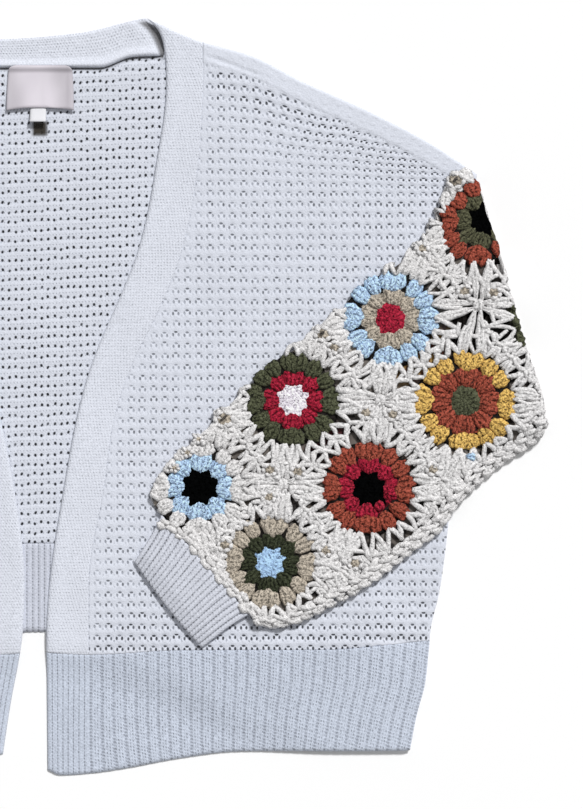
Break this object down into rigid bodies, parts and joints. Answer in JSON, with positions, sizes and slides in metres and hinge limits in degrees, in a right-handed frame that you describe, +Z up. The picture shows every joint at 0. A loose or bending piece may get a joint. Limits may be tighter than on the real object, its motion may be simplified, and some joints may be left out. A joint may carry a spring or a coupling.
{
  "type": "crochet cardigan, laid flat",
  "caption": "Cropped open cardigan lying flat, knit body with ribbed hems, crochet square sleeves folded across the fronts and ribbed cuffs.",
  "frame": {"origin": "middle of the garment's box, on the surface it lies on", "axes": "+X across the garment towards the wearer's left sleeve, +Y from the hem towards the neck, +Z up out of the front"},
  "size_m": [0.7138, 0.5312, 0.0122],
  "materials": {
    "body_knit": "matte openwork and ribbed knit, cool off-white",
    "crochet_yarn": "matte soft crochet yarn, cream with round motifs in black, light blue, crimson, green, rust, tan and yellow",
    "label_satin": "bare satin, pale pinkish lilac",
    "tab_tape": "bare white woven tape"
  },
  "bodies": {
    "root": {"back_panel": "body_knit", "back_hem": "body_knit", "neck_band": "body_knit", "left_front": "body_knit", "right_front": "body_knit", "left_front_band": "body_knit", "right_front_band": "body_knit", "left_front_hem": "body_knit", "right_front_hem": "body_knit", "left_sleeve_upper": "crochet_yarn", "right_sleeve_upper": "crochet_yarn", "left_sleeve_under": "crochet_yarn", "right_sleeve_under": "crochet_yarn", "left_sleeve_turn": "crochet_yarn", "right_sleeve_turn": "crochet_yarn", "left_cuff": "body_knit", "right_cuff": "body_knit", "neck_label": "label_satin", "size_tab": "tab_tape"}
  },
  "joints": []
}
